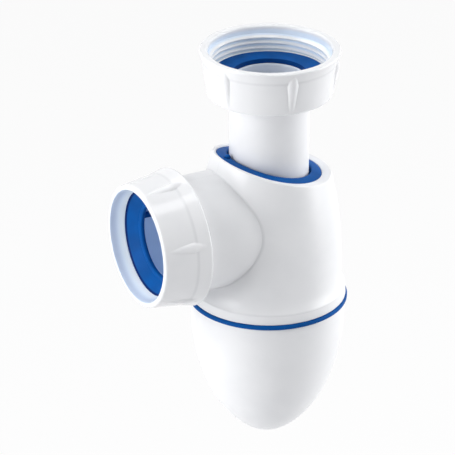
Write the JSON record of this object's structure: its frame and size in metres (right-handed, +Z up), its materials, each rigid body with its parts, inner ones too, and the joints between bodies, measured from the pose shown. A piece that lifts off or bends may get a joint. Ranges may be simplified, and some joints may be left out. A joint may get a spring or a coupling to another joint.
{
  "type": "basin trap",
  "caption": "White plastic bottle trap for a basin: inlet union nut on a sliding tube, slanted collar, side outlet with ribbed nut and seal, and a screw-off bowl.",
  "frame": {"origin": "centre of the inlet nut's mouth, on the trap's upright axis", "axes": "+Z up along the inlet tube towards the basin waste; the outlet branch points along -X"},
  "size_m": [0.0908, 0.0638, 0.1669],
  "materials": {
    "white_plastic": "glossy injection moulding",
    "blue_seal": "soft satin elastomer"
  },
  "bodies": {
    "inlet_nut": {"inlet_nut": "white_plastic"},
    "inlet_tube": {"inlet_tube": "white_plastic", "inlet_washer": "blue_seal"},
    "trap_body": {"trap_body": "white_plastic", "collar_seal": "blue_seal"},
    "outlet_seal": {"outlet_seal": "blue_seal"},
    "outlet_nut": {"outlet_nut": "white_plastic"},
    "bowl_seal": {"bowl_seal": "blue_seal"},
    "bowl": {"bowl": "white_plastic"}
  },
  "joints": [
    {"name": "trap_swivel", "type": "hinge", "parent": "inlet_nut", "child": "inlet_tube", "pos_m": [0, 0, 0], "axis": [0, 0, 1], "continuous": true},
    {"name": "height_slide", "type": "slide", "parent": "inlet_tube", "child": "trap_body", "axis": [0, 0, 1], "range_m": [-0.02, 0.014]},
    {"name": "outlet_seal_travel", "type": "slide", "parent": "trap_body", "child": "outlet_seal", "axis": [-1, 0, 0], "range_m": [0, 0.00693]},
    {"name": "outlet_nut_turn", "type": "hinge", "parent": "outlet_seal", "child": "outlet_nut", "pos_m": [-0.05, 0, -0.07115], "axis": [-1, 0, 0], "range_deg": [0, 1080]},
    {"name": "bowl_seal_travel", "type": "slide", "parent": "trap_body", "child": "bowl_seal", "axis": [0, 0, -1], "range_m": [0, 0.00801]},
    {"name": "bowl_turn", "type": "hinge", "parent": "bowl_seal", "child": "bowl", "pos_m": [0, 0, -0.1061], "axis": [0, 0, -1], "range_deg": [0, 720]}
  ],
  "couplings": [
    {"joint": "outlet_seal_travel", "follows": "outlet_nut_turn", "m_per_rad": 0.00036749},
    {"joint": "bowl_seal_travel", "follows": "bowl_turn", "m_per_rad": 0.00063662}
  ]
}
